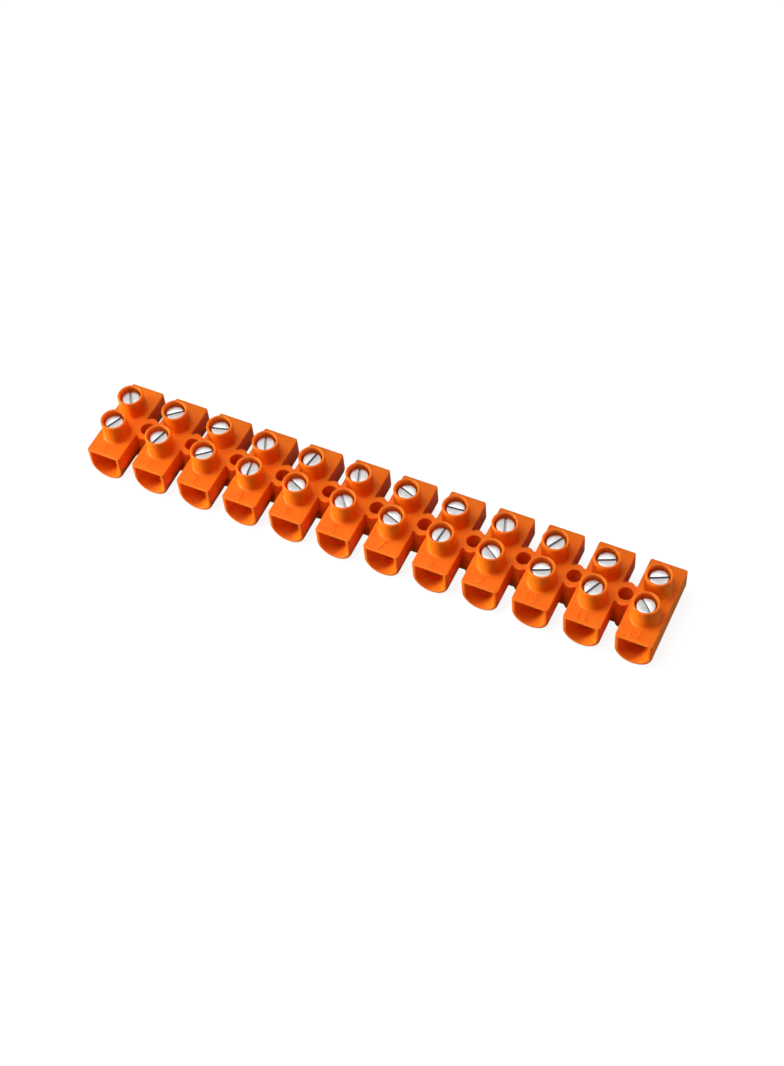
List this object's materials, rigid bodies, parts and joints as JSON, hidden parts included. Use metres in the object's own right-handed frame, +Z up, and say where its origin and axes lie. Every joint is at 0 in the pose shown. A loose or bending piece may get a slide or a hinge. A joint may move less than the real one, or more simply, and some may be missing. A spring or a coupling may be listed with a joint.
{
  "type": "screw terminal strip",
  "caption": "Moulded row of side-by-side wire connectors, each a metal tube in an arm with a wire mouth at both ends and two sunk slotted screws that clamp down, with fixing holes between.",
  "frame": {"origin": "on the mounting surface, below the middle of the strip", "axes": "+X along the row of poles, -Y towards the funnel mouths, +Z up out of the screw towers"},
  "size_m": [0.1406, 0.0218, 0.0143],
  "materials": {
    "housing_plastic": "semi-gloss moulded orange plastic",
    "tube_metal": "dull nickel-plated brass",
    "screw_metal": "zinc-plated, lightly scratched"
  },
  "bodies": {
    "strip": {"housing": "housing_plastic", "terminal_tube_01": "tube_metal", "terminal_tube_02": "tube_metal", "terminal_tube_03": "tube_metal", "terminal_tube_04": "tube_metal", "terminal_tube_05": "tube_metal", "terminal_tube_06": "tube_metal", "terminal_tube_07": "tube_metal", "terminal_tube_08": "tube_metal", "terminal_tube_09": "tube_metal", "terminal_tube_10": "tube_metal", "terminal_tube_11": "tube_metal", "terminal_tube_12": "tube_metal"},
    "front_screw_01": {"clamp_screw_front_01": "screw_metal"},
    "front_screw_02": {"clamp_screw_front_02": "screw_metal"},
    "front_screw_03": {"clamp_screw_front_03": "screw_metal"},
    "front_screw_04": {"clamp_screw_front_04": "screw_metal"},
    "front_screw_05": {"clamp_screw_front_05": "screw_metal"},
    "front_screw_06": {"clamp_screw_front_06": "screw_metal"},
    "front_screw_07": {"clamp_screw_front_07": "screw_metal"},
    "front_screw_08": {"clamp_screw_front_08": "screw_metal"},
    "front_screw_09": {"clamp_screw_front_09": "screw_metal"},
    "front_screw_10": {"clamp_screw_front_10": "screw_metal"},
    "front_screw_11": {"clamp_screw_front_11": "screw_metal"},
    "front_screw_12": {"clamp_screw_front_12": "screw_metal"},
    "rear_screw_01": {"clamp_screw_rear_01": "screw_metal"},
    "rear_screw_02": {"clamp_screw_rear_02": "screw_metal"},
    "rear_screw_03": {"clamp_screw_rear_03": "screw_metal"},
    "rear_screw_04": {"clamp_screw_rear_04": "screw_metal"},
    "rear_screw_05": {"clamp_screw_rear_05": "screw_metal"},
    "rear_screw_06": {"clamp_screw_rear_06": "screw_metal"},
    "rear_screw_07": {"clamp_screw_rear_07": "screw_metal"},
    "rear_screw_08": {"clamp_screw_rear_08": "screw_metal"},
    "rear_screw_09": {"clamp_screw_rear_09": "screw_metal"},
    "rear_screw_10": {"clamp_screw_rear_10": "screw_metal"},
    "rear_screw_11": {"clamp_screw_rear_11": "screw_metal"},
    "rear_screw_12": {"clamp_screw_rear_12": "screw_metal"}
  },
  "joints": [
    {"name": "front_screw_01_travel", "type": "slide", "parent": "strip", "child": "front_screw_01", "axis": [0, 0, 1], "range_m": [-0.00336, 0.0008]},
    {"name": "front_screw_02_travel", "type": "slide", "parent": "strip", "child": "front_screw_02", "axis": [0, 0, 1], "range_m": [-0.00336, 0.0008]},
    {"name": "front_screw_03_travel", "type": "slide", "parent": "strip", "child": "front_screw_03", "axis": [0, 0, 1], "range_m": [-0.00336, 0.0008]},
    {"name": "front_screw_04_travel", "type": "slide", "parent": "strip", "child": "front_screw_04", "axis": [0, 0, 1], "range_m": [-0.00336, 0.0008]},
    {"name": "front_screw_05_travel", "type": "slide", "parent": "strip", "child": "front_screw_05", "axis": [0, 0, 1], "range_m": [-0.00336, 0.0008]},
    {"name": "front_screw_06_travel", "type": "slide", "parent": "strip", "child": "front_screw_06", "axis": [0, 0, 1], "range_m": [-0.00336, 0.0008]},
    {"name": "front_screw_07_travel", "type": "slide", "parent": "strip", "child": "front_screw_07", "axis": [0, 0, 1], "range_m": [-0.00336, 0.0008]},
    {"name": "front_screw_08_travel", "type": "slide", "parent": "strip", "child": "front_screw_08", "axis": [0, 0, 1], "range_m": [-0.00336, 0.0008]},
    {"name": "front_screw_09_travel", "type": "slide", "parent": "strip", "child": "front_screw_09", "axis": [0, 0, 1], "range_m": [-0.00336, 0.0008]},
    {"name": "front_screw_10_travel", "type": "slide", "parent": "strip", "child": "front_screw_10", "axis": [0, 0, 1], "range_m": [-0.00336, 0.0008]},
    {"name": "front_screw_11_travel", "type": "slide", "parent": "strip", "child": "front_screw_11", "axis": [0, 0, 1], "range_m": [-0.00336, 0.0008]},
    {"name": "front_screw_12_travel", "type": "slide", "parent": "strip", "child": "front_screw_12", "axis": [0, 0, 1], "range_m": [-0.00336, 0.0008]},
    {"name": "rear_screw_01_travel", "type": "slide", "parent": "strip", "child": "rear_screw_01", "axis": [0, 0, 1], "range_m": [-0.00336, 0.0008]},
    {"name": "rear_screw_02_travel", "type": "slide", "parent": "strip", "child": "rear_screw_02", "axis": [0, 0, 1], "range_m": [-0.00336, 0.0008]},
    {"name": "rear_screw_03_travel", "type": "slide", "parent": "strip", "child": "rear_screw_03", "axis": [0, 0, 1], "range_m": [-0.00336, 0.0008]},
    {"name": "rear_screw_04_travel", "type": "slide", "parent": "strip", "child": "rear_screw_04", "axis": [0, 0, 1], "range_m": [-0.00336, 0.0008]},
    {"name": "rear_screw_05_travel", "type": "slide", "parent": "strip", "child": "rear_screw_05", "axis": [0, 0, 1], "range_m": [-0.00336, 0.0008]},
    {"name": "rear_screw_06_travel", "type": "slide", "parent": "strip", "child": "rear_screw_06", "axis": [0, 0, 1], "range_m": [-0.00336, 0.0008]},
    {"name": "rear_screw_07_travel", "type": "slide", "parent": "strip", "child": "rear_screw_07", "axis": [0, 0, 1], "range_m": [-0.00336, 0.0008]},
    {"name": "rear_screw_08_travel", "type": "slide", "parent": "strip", "child": "rear_screw_08", "axis": [0, 0, 1], "range_m": [-0.00336, 0.0008]},
    {"name": "rear_screw_09_travel", "type": "slide", "parent": "strip", "child": "rear_screw_09", "axis": [0, 0, 1], "range_m": [-0.00336, 0.0008]},
    {"name": "rear_screw_10_travel", "type": "slide", "parent": "strip", "child": "rear_screw_10", "axis": [0, 0, 1], "range_m": [-0.00336, 0.0008]},
    {"name": "rear_screw_11_travel", "type": "slide", "parent": "strip", "child": "rear_screw_11", "axis": [0, 0, 1], "range_m": [-0.00336, 0.0008]},
    {"name": "rear_screw_12_travel", "type": "slide", "parent": "strip", "child": "rear_screw_12", "axis": [0, 0, 1], "range_m": [-0.00336, 0.0008]}
  ]
}
